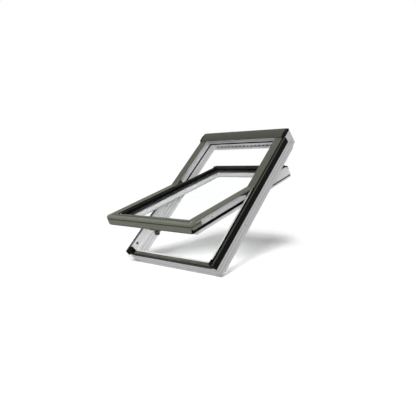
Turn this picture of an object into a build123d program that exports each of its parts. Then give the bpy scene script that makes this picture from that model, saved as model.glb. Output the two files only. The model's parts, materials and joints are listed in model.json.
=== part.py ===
import os
from math import cos, radians, sin
from build123d import *

# A centre pivot roof window in white PVC, set at the slope of its roof with the sash swung open.
# The frame is drawn flat in its own plane: u across, v up the slope, n out of the roof.
# The origin is on the room side of the bottom rail, in the middle of its flat outer leg.

# Size and stance
WINDOW_WIDTH = 780.0
WINDOW_HEIGHT = 1180.0
ROOF_PITCH = 45.0
SASH_OPENING = 27.5
PIVOT_RISE = 29.0
PIVOT_DEPTH = 8.0

# Frame profile
FRAME_FACE = 42.0
FRAME_TOP = 124.0
LIP_HEIGHT = 4.0
LIP_WIDTH = 12.0
GROOVE_WIDTH = 12.0
GROOVE_DEPTH = 8.0
REBATE_STEP = 6.0
REBATE_OUT = 80.0
LINING_LIP = 12.0
LINING_OUTER_LEG = 24.0
LINING_INNER_LEG = 6.0
MOUNT_UP = LINING_OUTER_LEG / 2
SILL_TOP = 82.0
SILL_UPSTAND = 6.0
SILL_UPSTAND_WIDTH = 10.0
RIB_WIDTH = 4.0
RIB_DEPTH = 1.5
RIB_OUTS = (29.0, 56.0)
RIB_END_LENGTH = 36.0
RIB_END_DEPTH = 5.0
HOLE_UP = 79.0
HOLE_OUT = 113.0
HOLE_RADIUS = 4.0
HOLE_DEPTH = 6.0

# Sheet metal and seals
SHEET = 2.0
BEND = 1.4
COVER_RISE = 14.0
COVER_LAP = 7.0
COVER_INSET = 15.0
COVER_HEM = 3.0
COVER_LEG = 8.0
CHANNEL_REACH = 6.0
CHANNEL_DEPTH = 44.0
CHANNEL_TAIL = 8.0
TRIM_WIDTH = 12.0
TRIM_HEIGHT = 2.5
TRIM_BEVEL = 2.0
GROOVE_SEAL_WIDTH = 3.0
GROOVE_SEAL_TOE = 6.0
COVER_TAIL = 8.0
FIT = 0.3

# Hood over the top rail
HOOD_LOW = 1090.0
HOOD_BACK = 7.0
HOOD_CREST_RISE = 10.0
HOOD_SHOULDER_RISE = 5.0
HOOD_INSET = 4.0
HOOD_LAP = 14.0
HOOD_CAP = 16.0

# Strip on the bottom rail
SILL_STRIP_OVERHANG = 3.0
SILL_STRIP_LIP = 5.0
SILL_BAND_HEIGHT = 3.0
SILL_BAND_WIDTH = 20.0

# Sash profile, drawn in the sash's own plane: s up the sash from the pivot, m out of it
SASH_CLEARANCE = 10.0
SASH_FACE = 44.0
SASH_BACK = -90.0
SASH_BACK_BEVEL = 12.0
SASH_TOP = -6.0
SASH_WALL = 12.0
GLASS_OUT = -27.0
PANE = 4.0
GLASS_GAP = 16.0
SPACER_WIDTH = 7.0
GLASS_EDGE = 5.0
SASH_HEAD_CLEARANCE = 26.0
SASH_FOOT_CLEARANCE = 4.0
HEAD_BEVEL_LENGTH = 26.0
HEAD_BEVEL_DEPTH = 49.0
NOSE_OVERHANG = 14.0
NOSE_TOP = 0.0
NOSE_BACK = -44.0

# Sash covers and glazing strips
SASH_COVER_OVERHANG = 22.0
SASH_COVER_WIDTH = 46.0
COVER_SLOPE_RUN = 12.0
COVER_SLOPE_DROP = 7.0
COVER_STEP_DROP = 19.0
COVER_STEP_HEIGHT = 10.0
COVER_STEP_DEPTH = 4.0
COVER_STEP_BEVEL = 2.0
COVER_CURL_DROP = 57.0
COVER_FOOT_DROP = 65.0
COVER_CORNER_DROP = 28.0
COVER_CORNER_CUT = 9.0
GLASS_HEAD_INSET = 23.0
STRIP_BACK = -6.0
STRIP_THICK = 5.0
STRIP_WIDE = 18.0
TOP_STRIP_BACK = -16.0
TOP_STRIP_CREST = 8.0
TOP_STRIP_TOE = -10.0
TOP_STRIP_WIDE = 14.0
LOW_STRIP_BACK = -18.0
LOW_STRIP_HEIGHT = 3.0
LOW_STRIP_WIDE = 14.0
SEAL_WIDE = 22.0
SEAL_STEP = -23.0
SPACER_INSET = 8.0
WRAP_DROP = 14.0
WRAP_FOOT_DROP = 46.0
WRAP_TAIL = 45.0
WRAP_NOTCH_LENGTH = 16.0
WRAP_NOTCH_HEIGHT = 16.0
BLOCK_LENGTH = 43.0
BLOCK_HEIGHT = 32.0
BLOCK_FOOT = -56.0
SEAL_NOSE = 3.5
SEAL_WIDTH = 8.0
SEAL_OUT = -52.0
SEAL_DEPTH = 16.0
SEAL_PROUD = 5.0
UPPER_SEAL_OUT = -70.0
UPPER_SEAL_DEPTH = 7.0
UPPER_SEAL_PROUD = 2.5
FRAME_SEAL_OUT = 68.0

# Vent, hinges and handle
VENT_LOW = 15.0
VENT_HIGH = 41.0
VENT_MARGIN = 38.0
VENT_PLATE = 3.0
VENT_POCKET = 10.0
VENT_SLOT_PITCH = 36.0
VENT_SLOT_WIDTH = 22.0
VENT_SLOT_HEIGHT = 12.0
HINGE_LENGTH = 150.0
HINGE_HEIGHT = 34.0
HINGE_PLATE = 2.5
PIN_RADIUS = 4.0
HINGE_TAIL = 170.0
HANDLE_PLATE_LENGTH = 100.0
HANDLE_PLATE_WIDTH = 30.0
HANDLE_PLATE = 7.0
HANDLE_OFFSET = -18.0
HANDLE_RADIUS = 17.0
HANDLE_REACH = 30.0
HANDLE_NECK = 20.0
HANDLE_NECK_LENGTH = 6.0
HANDLE_THICK = 24.0
HANDLE_ROUND = 3.0

# Blocks that close the feet of the stiles
STILE_BLOCK_LENGTH = 35.0

# Sizes that follow from the ones above
HALF = WINDOW_WIDTH / 2
FRAME_INNER = HALF - FRAME_FACE
REBATE_INNER = FRAME_INNER + REBATE_STEP
TOP_INNER = WINDOW_HEIGHT - FRAME_FACE
TOP_REBATE = TOP_INNER + REBATE_STEP
PIVOT_UP = WINDOW_HEIGHT / 2 + PIVOT_RISE
COVER_OUT = FRAME_TOP + COVER_RISE
PIVOT_OUT = COVER_OUT - PIVOT_DEPTH
SASH_HALF = REBATE_INNER - SASH_CLEARANCE
SASH_HEAD = TOP_REBATE - PIVOT_UP - SASH_HEAD_CLEARANCE
SASH_FOOT = FRAME_FACE + SASH_FOOT_CLEARANCE - PIVOT_UP
HEAD_BEVEL_START = SASH_HEAD - HEAD_BEVEL_LENGTH
NOSE_FOOT = -PIVOT_UP - NOSE_OVERHANG
SASH_COVER_FOOT = -PIVOT_UP - SASH_COVER_OVERHANG
SASH_COVER_INNER = SASH_COVER_FOOT + SASH_COVER_WIDTH
GLASS_HEAD = SASH_HEAD - GLASS_HEAD_INSET
SASH_INNER = SASH_HALF - SASH_FACE
GLASS_BACK = GLASS_OUT - 2 * PANE - GLASS_GAP
LIP_TOP = FRAME_TOP + LIP_HEIGHT
VENT_MIDDLE = (VENT_LOW + VENT_HIGH) / 2
GROOVE_INNER = REBATE_INNER + LIP_WIDTH
GROOVE_OUTER = GROOVE_INNER + GROOVE_WIDTH
GROOVE_FLOOR = FRAME_TOP - GROOVE_DEPTH
TOP_GROOVE = TOP_REBATE + LIP_WIDTH
CHANNEL_FOOT = GROOVE_OUTER + SHEET
CHANNEL_TOP = FRAME_TOP + SHEET
TRIM_TOP = CHANNEL_TOP + TRIM_HEIGHT
CHANNEL_WALL = HALF + CHANNEL_REACH - SHEET / 2
CHANNEL_LOW = CHANNEL_TOP - CHANNEL_DEPTH
HOOD_FRONT = HOOD_LOW + SHEET / 2
HOOD_SHOULDER = COVER_OUT + HOOD_SHOULDER_RISE
HOOD_CREST = COVER_OUT + HOOD_CREST_RISE
HOOD_HIGH = WINDOW_HEIGHT + HOOD_BACK - SHEET / 2
HOOD_MIDDLE = (HOOD_LOW + HOOD_HIGH) / 2
CAP_LOW = HOOD_LOW + HOOD_LAP
HOOD_HALF = HALF - HOOD_INSET
SILL_STRIP_FRONT = SHEET / 2 - SILL_STRIP_OVERHANG
UPPER_COVER_END = PIVOT_UP - COVER_TAIL
HINGE_TOP = COVER_OUT - SHEET - FIT
GLASS_HALF = SASH_HALF - SASH_WALL - GLASS_EDGE
COVER_INNER = GLASS_HALF - COVER_LAP
COVER_OUTER = HALF - COVER_INSET
VENT_HALF = FRAME_INNER - VENT_MARGIN
VENT_SLOTS = 2 * int((VENT_HALF - VENT_SLOT_WIDTH) / VENT_SLOT_PITCH) + 1
GLASS_FOOT = SASH_FOOT + SASH_WALL + GLASS_EDGE
GLASS_LENGTH = GLASS_HEAD - GLASS_FOOT
GLASS_MIDDLE = (GLASS_HEAD + GLASS_FOOT) / 2
HEAD_BEVEL_FOOT = SASH_TOP - HEAD_BEVEL_DEPTH
HEAD_BEVEL_MIDDLE = HEAD_BEVEL_START + HEAD_BEVEL_LENGTH * (SASH_TOP - GLASS_OUT) / HEAD_BEVEL_DEPTH
LOW_STRIP_TOP = LOW_STRIP_BACK + LOW_STRIP_HEIGHT
BACK_EDGE = SASH_BACK + SASH_BACK_BEVEL
COVER_FRONT = SASH_COVER_FOOT + SHEET / 2
COVER_SHEET = PIVOT_DEPTH - SHEET / 2
COVER_STEP_TOP = PIVOT_DEPTH - COVER_STEP_DROP
STEP_BOTTOM = COVER_STEP_TOP - COVER_STEP_HEIGHT
COVER_CURL_TOP = PIVOT_DEPTH - COVER_CURL_DROP
COVER_FOOT = PIVOT_DEPTH - COVER_FOOT_DROP
COVER_CORNER_TOP = PIVOT_DEPTH - COVER_CORNER_DROP
WRAP_TOP = PIVOT_DEPTH - WRAP_DROP
WRAP_FOOT = PIVOT_DEPTH - WRAP_FOOT_DROP
SEAL_INNER = GLASS_HALF - STRIP_WIDE
HEM_FOOT = PIVOT_DEPTH - COVER_HEM
SIDE_COVER_FOOT = SASH_COVER_INNER + FIT
COVER_HEAD = -(COVER_TAIL + FIT + PIVOT_DEPTH * sin(radians(SASH_OPENING))) / cos(radians(SASH_OPENING))
HANDLE_MIDDLE = SASH_FOOT + (SASH_FACE - SASH_BACK_BEVEL) / 2

slope = Plane.XY.rotated((ROOF_PITCH, 0, 0))
window = Plane(slope.y_dir * -MOUNT_UP, x_dir=slope.x_dir, z_dir=slope.z_dir)
pivot_point = window.from_local_coords((0, PIVOT_UP, PIVOT_OUT))
sash_tilt = Plane.XY.rotated((ROOF_PITCH - SASH_OPENING, 0, 0))
sash = Plane(pivot_point, x_dir=sash_tilt.x_dir, z_dir=sash_tilt.z_dir)


def across(base, u):
    """Sketch plane square to the width: its x runs up the slope, its y outwards."""
    return Plane(base.from_local_coords((u, 0, 0)), x_dir=base.y_dir, z_dir=base.x_dir)


def down_slope(base, v):
    """Sketch plane square to the slope: its x runs across, its y outwards, and it faces down."""
    return Plane(base.from_local_coords((0, v, 0)), x_dir=base.x_dir, z_dir=-base.y_dir)


def facing(base, n):
    """Sketch plane parallel to the glass."""
    return Plane(base.from_local_coords((0, 0, n)), x_dir=base.x_dir, z_dir=base.z_dir)


def mitre(base, u, v, keep):
    """Cutting plane through a corner, at 45 degrees, that keeps the side a direction points to."""
    normal = base.x_dir * keep[0] + base.y_dir * keep[1]
    return Plane(base.from_local_coords((u, v, 0)), x_dir=base.z_dir, z_dir=normal)


def save(part, name):
    """Label a finished piece and write its file."""
    part.label = name
    export_step(part, f"parts/{name}.step")


os.makedirs("parts", exist_ok=True)

# Frame rails: one profile, mitred at the top corners and lower at the sill
with BuildPart() as frame_right_stile:
    with BuildSketch(down_slope(window, WINDOW_HEIGHT)):
        with BuildLine():
            Polyline(
                (FRAME_INNER, LINING_LIP), (HALF, LINING_LIP), (HALF, FRAME_TOP), (GROOVE_OUTER, FRAME_TOP),
                (GROOVE_OUTER, GROOVE_FLOOR), (GROOVE_INNER, GROOVE_FLOOR), (GROOVE_INNER, LIP_TOP),
                (REBATE_INNER, LIP_TOP), (REBATE_INNER, REBATE_OUT), (FRAME_INNER, REBATE_OUT),
                close=True,
            )
        make_face()
        with Locations(*[(HALF, rib) for rib in RIB_OUTS]):
            Rectangle(RIB_DEPTH, RIB_WIDTH, align=(Align.MAX, Align.CENTER), mode=Mode.SUBTRACT)
    extrude(amount=WINDOW_HEIGHT)
    split(bisect_by=mitre(window, HALF, WINDOW_HEIGHT, (1, -1)), keep=Keep.TOP)
    with BuildSketch(facing(window, 0)):
        with BuildLine():
            Polyline((FRAME_INNER, 0), (HALF, 0), (FRAME_INNER, FRAME_FACE), close=True)
        make_face()
    extrude(amount=SILL_TOP, mode=Mode.SUBTRACT)
    with BuildSketch(facing(window, SILL_TOP)):
        with Locations((REBATE_INNER, 0)):
            Rectangle(HALF - REBATE_INNER, STILE_BLOCK_LENGTH, align=(Align.MIN, Align.MIN))
    extrude(amount=LIP_TOP - SILL_TOP, mode=Mode.SUBTRACT)
    with BuildSketch(down_slope(window, RIB_END_LENGTH)):
        with Locations(*[(HALF, rib) for rib in RIB_OUTS]):
            Rectangle(RIB_END_DEPTH, RIB_WIDTH, align=(Align.MAX, Align.CENTER))
    extrude(amount=RIB_END_LENGTH, mode=Mode.SUBTRACT)
    with BuildSketch(across(window, REBATE_INNER)):
        with Locations((HOLE_UP, HOLE_OUT)):
            Circle(HOLE_RADIUS)
    extrude(amount=HOLE_DEPTH, mode=Mode.SUBTRACT)
    with BuildSketch(down_slope(window, WINDOW_HEIGHT - FRAME_FACE)):
        with Locations((HALF, 0)):
            Rectangle(LINING_OUTER_LEG, LINING_LIP, align=(Align.MAX, Align.MIN))
        with Locations((FRAME_INNER, 0)):
            Rectangle(LINING_INNER_LEG, LINING_LIP, align=(Align.MIN, Align.MIN))
    extrude(amount=WINDOW_HEIGHT - 2 * FRAME_FACE)
save(frame_right_stile.part, "frame_right_stile")

with BuildPart() as frame_left_stile:
    mirror(frame_right_stile.part, about=Plane.YZ)
save(frame_left_stile.part, "frame_left_stile")

with BuildPart() as frame_top_rail:
    with BuildSketch(across(window, -HALF)):
        with BuildLine():
            Polyline(
                (TOP_INNER, LINING_LIP), (WINDOW_HEIGHT, LINING_LIP), (WINDOW_HEIGHT, FRAME_TOP),
                (TOP_GROOVE + GROOVE_WIDTH, FRAME_TOP), (TOP_GROOVE + GROOVE_WIDTH, GROOVE_FLOOR),
                (TOP_GROOVE, GROOVE_FLOOR), (TOP_GROOVE, LIP_TOP), (TOP_REBATE, LIP_TOP),
                (TOP_REBATE, REBATE_OUT), (TOP_INNER, REBATE_OUT), close=True,
            )
        make_face()
    extrude(amount=WINDOW_WIDTH)
    split(bisect_by=mitre(window, HALF, WINDOW_HEIGHT, (-1, 1)), keep=Keep.TOP)
    split(bisect_by=mitre(window, -HALF, WINDOW_HEIGHT, (1, 1)), keep=Keep.TOP)
    with BuildSketch(across(window, -FRAME_INNER)):
        with Locations((WINDOW_HEIGHT, 0)):
            Rectangle(LINING_OUTER_LEG, LINING_LIP, align=(Align.MAX, Align.MIN))
        with Locations((TOP_INNER, 0)):
            Rectangle(LINING_INNER_LEG, LINING_LIP, align=(Align.MIN, Align.MIN))
    extrude(amount=2 * FRAME_INNER)
    with BuildSketch(across(window, -VENT_HALF)):
        with Locations((TOP_INNER, VENT_LOW)):
            Rectangle(VENT_PLATE, VENT_HIGH - VENT_LOW, align=(Align.MIN, Align.MIN))
        with Locations((TOP_INNER, VENT_MIDDLE)):
            Rectangle(VENT_POCKET, VENT_SLOT_HEIGHT, align=(Align.MIN, Align.CENTER))
    extrude(amount=2 * VENT_HALF, mode=Mode.SUBTRACT)
save(frame_top_rail.part, "frame_top_rail")

with BuildPart() as frame_bottom_rail:
    with BuildSketch(across(window, -HALF)):
        with Locations((0, LINING_LIP)):
            Rectangle(FRAME_FACE, SILL_TOP - LINING_LIP, align=(Align.MIN, Align.MIN))
        with Locations(*[(0, rib) for rib in RIB_OUTS]):
            Rectangle(RIB_DEPTH, RIB_WIDTH, align=(Align.MIN, Align.CENTER), mode=Mode.SUBTRACT)
    extrude(amount=WINDOW_WIDTH)
    split(bisect_by=mitre(window, HALF, 0, (-1, -1)), keep=Keep.TOP)
    split(bisect_by=mitre(window, -HALF, 0, (1, -1)), keep=Keep.TOP)
    with BuildSketch(across(window, -FRAME_INNER)):
        with Locations((0, 0)):
            Rectangle(LINING_OUTER_LEG, LINING_LIP, align=(Align.MIN, Align.MIN))
        with Locations((FRAME_FACE, 0)):
            Rectangle(LINING_INNER_LEG, LINING_LIP, align=(Align.MAX, Align.MIN))
        with Locations((FRAME_FACE - SILL_UPSTAND_WIDTH, SILL_TOP)):
            Rectangle(SILL_UPSTAND_WIDTH, SILL_UPSTAND, align=(Align.MIN, Align.MIN))
    extrude(amount=2 * FRAME_INNER)
save(frame_bottom_rail.part, "frame_bottom_rail")

# Vent grille let into the inner face of the top rail
with BuildPart() as vent_grille:
    with BuildSketch(down_slope(window, TOP_INNER + VENT_PLATE)):
        with Locations((0, VENT_MIDDLE)):
            RectangleRounded(2 * VENT_HALF - 2 * FIT, VENT_HIGH - VENT_LOW - 2 * FIT, VENT_PLATE)
            with GridLocations(VENT_SLOT_PITCH, 0, VENT_SLOTS, 1):
                SlotOverall(VENT_SLOT_WIDTH, VENT_SLOT_HEIGHT, mode=Mode.SUBTRACT)
    extrude(amount=VENT_PLATE)
save(vent_grille.part, "vent_grille")

# Frame seals: one on the inner face where the sash closes from the room side, one in the outer groove
with BuildPart() as frame_right_seal:
    with BuildSketch(down_slope(window, TOP_INNER)):
        with Locations((FRAME_INNER, FRAME_SEAL_OUT)):
            Rectangle(SEAL_NOSE, SEAL_WIDTH, align=(Align.MAX, Align.MAX))
    extrude(amount=TOP_INNER - PIVOT_UP - HINGE_LENGTH / 2)
    with BuildSketch(down_slope(window, TOP_GROOVE)):
        with Locations((GROOVE_INNER, GROOVE_FLOOR)):
            Rectangle(GROOVE_SEAL_WIDTH, LIP_TOP - GROOVE_FLOOR, align=(Align.MIN, Align.MIN))
            Rectangle(GROOVE_SEAL_TOE, GROOVE_SEAL_WIDTH, align=(Align.MIN, Align.MIN))
    extrude(amount=TOP_GROOVE - STILE_BLOCK_LENGTH)
save(frame_right_seal.part, "frame_right_seal")

with BuildPart() as frame_left_seal:
    mirror(frame_right_seal.part, about=Plane.YZ)
save(frame_left_seal.part, "frame_left_seal")

with BuildPart() as frame_top_seal:
    with BuildSketch(across(window, SEAL_NOSE - FRAME_INNER)):
        with Locations((TOP_INNER, FRAME_SEAL_OUT)):
            Rectangle(SEAL_NOSE, SEAL_WIDTH, align=(Align.MAX, Align.MAX))
    extrude(amount=2 * (FRAME_INNER - SEAL_NOSE))
save(frame_top_seal.part, "frame_top_seal")

# Side channels and the trim on each of them run the full height and past the foot
with BuildPart() as right_side_channel:
    with BuildSketch(down_slope(window, CAP_LOW)):
        with BuildLine():
            FilletPolyline(
                (CHANNEL_FOOT, CHANNEL_TOP - SHEET / 2), (CHANNEL_WALL, CHANNEL_TOP - SHEET / 2),
                (CHANNEL_WALL, CHANNEL_LOW + SHEET / 2), (HALF, CHANNEL_LOW + SHEET / 2), radius=BEND,
            )
        trace(line_width=SHEET)
    extrude(amount=CAP_LOW + CHANNEL_TAIL)
save(right_side_channel.part, "right_side_channel")

with BuildPart() as left_side_channel:
    mirror(right_side_channel.part, about=Plane.YZ)
save(left_side_channel.part, "left_side_channel")

with BuildPart() as right_trim:
    with BuildSketch(down_slope(window, CAP_LOW)):
        with BuildLine():
            Polyline(
                (CHANNEL_FOOT, CHANNEL_TOP), (CHANNEL_FOOT + TRIM_WIDTH, CHANNEL_TOP),
                (CHANNEL_FOOT + TRIM_WIDTH - TRIM_BEVEL, TRIM_TOP), (CHANNEL_FOOT + TRIM_BEVEL, TRIM_TOP),
                close=True,
            )
        make_face()
    extrude(amount=CAP_LOW + CHANNEL_TAIL)
save(right_trim.part, "right_trim")

with BuildPart() as left_trim:
    mirror(right_trim.part, about=Plane.YZ)
save(left_trim.part, "left_trim")

# Upper side covers, from the hood down to the seam at the hinges
with BuildPart() as upper_right_cover:
    with BuildSketch(down_slope(window, CAP_LOW)):
        with BuildLine():
            FilletPolyline(
                (COVER_INNER + SHEET / 2, COVER_OUT - COVER_HEM),
                (COVER_INNER + SHEET / 2, COVER_OUT - SHEET / 2),
                (COVER_OUTER - SHEET / 2, COVER_OUT - SHEET / 2),
                (COVER_OUTER - SHEET / 2, COVER_OUT - COVER_LEG),
                radius=BEND,
            )
        trace(line_width=SHEET)
        with Locations((REBATE_INNER + LIP_WIDTH / 2, LIP_TOP)):
            Rectangle(SHEET, COVER_OUT - SHEET - LIP_TOP, align=(Align.CENTER, Align.MIN))
    extrude(amount=CAP_LOW - UPPER_COVER_END)
save(upper_right_cover.part, "upper_right_cover")

with BuildPart() as upper_left_cover:
    mirror(upper_right_cover.part, about=Plane.YZ)
save(upper_left_cover.part, "upper_left_cover")

# Hood over the top rail, with a cap at each end
with BuildPart() as top_hood:
    with BuildSketch(across(window, HOOD_CAP - HOOD_HALF)):
        with BuildLine():
            hood_front = Line((HOOD_FRONT, COVER_OUT + FIT), (HOOD_FRONT, HOOD_SHOULDER))
            hood_top = ThreePointArc(
                hood_front @ 1, (HOOD_MIDDLE, HOOD_CREST - SHEET / 2), (HOOD_HIGH, COVER_OUT)
            )
            Line(hood_top @ 1, (HOOD_HIGH, FRAME_TOP + FIT))
        trace(line_width=SHEET)
    extrude(amount=2 * (HOOD_HALF - HOOD_CAP))
save(top_hood.part, "top_hood")

with BuildPart() as hood_right_cap:
    with BuildSketch(across(window, HOOD_HALF - HOOD_CAP)):
        with BuildLine():
            cap_top = ThreePointArc(
                (HOOD_LOW, HOOD_SHOULDER), (HOOD_MIDDLE, HOOD_CREST), (HOOD_HIGH, COVER_OUT)
            )
            Polyline(
                cap_top @ 1, (HOOD_HIGH, FRAME_TOP), (CAP_LOW + FIT, FRAME_TOP),
                (CAP_LOW + FIT, COVER_OUT + FIT), (HOOD_LOW, COVER_OUT + FIT), cap_top @ 0,
            )
        make_face()
    extrude(amount=HOOD_CAP)
    with BuildSketch(across(window, COVER_OUTER + FIT)):
        with Locations((HOOD_LOW, TRIM_TOP + FIT)):
            Rectangle(CAP_LOW + FIT - HOOD_LOW, COVER_OUT - TRIM_TOP, align=(Align.MIN, Align.MIN))
    extrude(amount=HOOD_HALF - COVER_OUTER - FIT)
save(hood_right_cap.part, "hood_right_cap")

with BuildPart() as hood_left_cap:
    mirror(hood_right_cap.part, about=Plane.YZ)
save(hood_left_cap.part, "hood_left_cap")

# Strip on the sill and the blocks that close the stiles
with BuildPart() as sill_strip:
    with BuildSketch(across(window, FIT - REBATE_INNER)):
        with BuildLine():
            Polyline(
                (FRAME_FACE - SILL_UPSTAND_WIDTH, SILL_TOP + SHEET / 2),
                (SILL_STRIP_FRONT, SILL_TOP + SHEET / 2),
                (SILL_STRIP_FRONT, SILL_TOP + SHEET - SILL_STRIP_LIP),
            )
        trace(line_width=SHEET)
        with Locations((FRAME_FACE - SILL_UPSTAND_WIDTH, SILL_TOP + SHEET)):
            Rectangle(SILL_BAND_WIDTH, SILL_BAND_HEIGHT, align=(Align.MAX, Align.MIN))
    extrude(amount=2 * (REBATE_INNER - FIT))
save(sill_strip.part, "sill_strip")

with BuildPart() as right_stile_block:
    with BuildSketch(down_slope(window, STILE_BLOCK_LENGTH - FIT)):
        with BuildLine():
            Polyline(
                (REBATE_INNER, SILL_TOP), (HALF, SILL_TOP), (HALF, FRAME_TOP), (GROOVE_INNER, FRAME_TOP),
                (GROOVE_INNER, LIP_TOP), (REBATE_INNER, LIP_TOP), close=True,
            )
        make_face()
    extrude(amount=STILE_BLOCK_LENGTH - FIT)
save(right_stile_block.part, "right_stile_block")

with BuildPart() as left_stile_block:
    mirror(right_stile_block.part, about=Plane.YZ)
save(left_stile_block.part, "left_stile_block")

# Sash rails
with BuildPart() as sash_right_stile:
    with BuildSketch(down_slope(sash, SASH_HEAD)):
        with BuildLine():
            Polyline(
                (SASH_INNER, BACK_EDGE), (SASH_INNER + SASH_BACK_BEVEL, SASH_BACK), (SASH_HALF, SASH_BACK),
                (SASH_HALF, SASH_TOP), (SASH_HALF - SASH_WALL, SASH_TOP),
                (SASH_HALF - SASH_WALL, GLASS_BACK), (SASH_INNER, GLASS_BACK), close=True,
            )
        make_face()
    extrude(amount=SASH_HEAD - SASH_FOOT)
    split(bisect_by=mitre(sash, SASH_HALF, SASH_HEAD, (1, -1)), keep=Keep.TOP)
    split(bisect_by=mitre(sash, SASH_HALF, SASH_FOOT, (1, 1)), keep=Keep.TOP)
    with BuildSketch(across(sash, 0)):
        with BuildLine():
            Polyline(
                (HEAD_BEVEL_START, SASH_TOP), (SASH_HEAD, SASH_TOP), (SASH_HEAD, HEAD_BEVEL_FOOT),
                close=True,
            )
        make_face()
    extrude(amount=SASH_HALF, mode=Mode.SUBTRACT)
save(sash_right_stile.part, "sash_right_stile")

with BuildPart() as sash_left_stile:
    mirror(sash_right_stile.part, about=Plane.YZ)
save(sash_left_stile.part, "sash_left_stile")

with BuildPart() as sash_top_rail:
    with BuildSketch(across(sash, -SASH_HALF)):
        with BuildLine():
            Polyline(
                (SASH_HEAD - SASH_FACE, BACK_EDGE), (SASH_HEAD - SASH_FACE + SASH_BACK_BEVEL, SASH_BACK),
                (SASH_HEAD, SASH_BACK), (SASH_HEAD, HEAD_BEVEL_FOOT), (HEAD_BEVEL_MIDDLE, GLASS_OUT),
                (GLASS_HEAD + GLASS_EDGE, GLASS_OUT), (GLASS_HEAD + GLASS_EDGE, GLASS_BACK),
                (SASH_HEAD - SASH_FACE, GLASS_BACK), close=True,
            )
        make_face()
    extrude(amount=2 * SASH_HALF)
    split(bisect_by=mitre(sash, SASH_HALF, SASH_HEAD, (-1, 1)), keep=Keep.TOP)
    split(bisect_by=mitre(sash, -SASH_HALF, SASH_HEAD, (1, 1)), keep=Keep.TOP)
save(sash_top_rail.part, "sash_top_rail")

with BuildPart() as sash_bottom_rail:
    with BuildSketch(across(sash, -SASH_HALF)):
        with BuildLine():
            Polyline(
                (SASH_FOOT + SASH_FACE, BACK_EDGE), (SASH_FOOT + SASH_FACE - SASH_BACK_BEVEL, SASH_BACK),
                (SASH_FOOT, SASH_BACK), (SASH_FOOT, NOSE_BACK), (NOSE_FOOT, NOSE_BACK),
                (NOSE_FOOT, NOSE_TOP), (SASH_COVER_INNER, NOSE_TOP), (SASH_FOOT + SASH_WALL, LOW_STRIP_TOP),
                (SASH_FOOT + SASH_WALL, GLASS_BACK), (SASH_FOOT + SASH_FACE, GLASS_BACK), close=True,
            )
        make_face()
    extrude(amount=2 * SASH_HALF)
    split(bisect_by=mitre(sash, SASH_HALF, SASH_FOOT, (-1, -1)), keep=Keep.TOP)
    split(bisect_by=mitre(sash, -SASH_HALF, SASH_FOOT, (1, -1)), keep=Keep.TOP)
save(sash_bottom_rail.part, "sash_bottom_rail")

# Double glazing: two panes on a spacer bar, held by a seal and dark strips
with BuildPart() as inner_pane:
    with BuildSketch(facing(sash, GLASS_BACK)):
        with Locations((0, GLASS_MIDDLE)):
            Rectangle(2 * GLASS_HALF, GLASS_LENGTH)
    extrude(amount=PANE)
save(inner_pane.part, "inner_pane")

with BuildPart() as outer_pane:
    with BuildSketch(facing(sash, GLASS_OUT - PANE)):
        with Locations((0, GLASS_MIDDLE)):
            Rectangle(2 * GLASS_HALF, GLASS_LENGTH)
    extrude(amount=PANE)
save(outer_pane.part, "outer_pane")

with BuildPart() as spacer_bar:
    with BuildSketch(facing(sash, GLASS_BACK + PANE)):
        with Locations((0, GLASS_MIDDLE)):
            Rectangle(2 * (GLASS_HALF - SPACER_INSET), GLASS_LENGTH - 2 * SPACER_INSET)
            Rectangle(
                2 * (GLASS_HALF - SPACER_INSET - SPACER_WIDTH),
                GLASS_LENGTH - 2 * (SPACER_INSET + SPACER_WIDTH),
                mode=Mode.SUBTRACT,
            )
    extrude(amount=GLASS_GAP)
save(spacer_bar.part, "spacer_bar")

with BuildPart() as glazing_seal:
    for width, low, high in ((SEAL_WIDE, GLASS_OUT, SEAL_STEP), (STRIP_WIDE, SEAL_STEP, LOW_STRIP_BACK)):
        with BuildSketch(facing(sash, low)):
            with Locations((0, GLASS_MIDDLE)):
                Rectangle(2 * GLASS_HALF, GLASS_LENGTH)
                Rectangle(2 * (GLASS_HALF - width), GLASS_LENGTH - 2 * width, mode=Mode.SUBTRACT)
        extrude(amount=high - low)
    with BuildSketch(facing(sash, LOW_STRIP_BACK)):
        with BuildLine():
            Polyline(
                (GLASS_HALF, GLASS_HEAD), (GLASS_HALF, GLASS_FOOT), (SEAL_INNER, GLASS_FOOT + STRIP_WIDE),
                (SEAL_INNER, GLASS_HEAD - STRIP_WIDE), close=True,
            )
        make_face()
    side_seal = extrude(amount=STRIP_BACK - LOW_STRIP_BACK)
    mirror(side_seal, about=Plane.YZ)
    with BuildSketch(facing(sash, LOW_STRIP_BACK)):
        with BuildLine():
            Polyline(
                (GLASS_HALF, GLASS_HEAD), (-GLASS_HALF, GLASS_HEAD), (-SEAL_INNER, GLASS_HEAD - STRIP_WIDE),
                (SEAL_INNER, GLASS_HEAD - STRIP_WIDE), close=True,
            )
        make_face()
    extrude(amount=TOP_STRIP_BACK - LOW_STRIP_BACK)
save(glazing_seal.part, "glazing_seal")

with BuildPart() as glazing_strip_right:
    with BuildSketch(down_slope(sash, GLASS_HEAD)):
        with Locations((GLASS_HALF, STRIP_BACK)):
            Rectangle(STRIP_WIDE, STRIP_THICK, align=(Align.MAX, Align.MIN))
    extrude(amount=GLASS_LENGTH)
    split(bisect_by=mitre(sash, GLASS_HALF, GLASS_HEAD, (1, -1)), keep=Keep.TOP)
    split(bisect_by=mitre(sash, GLASS_HALF, GLASS_FOOT, (1, 1)), keep=Keep.TOP)
save(glazing_strip_right.part, "glazing_strip_right")

with BuildPart() as glazing_strip_left:
    mirror(glazing_strip_right.part, about=Plane.YZ)
save(glazing_strip_left.part, "glazing_strip_left")

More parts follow.
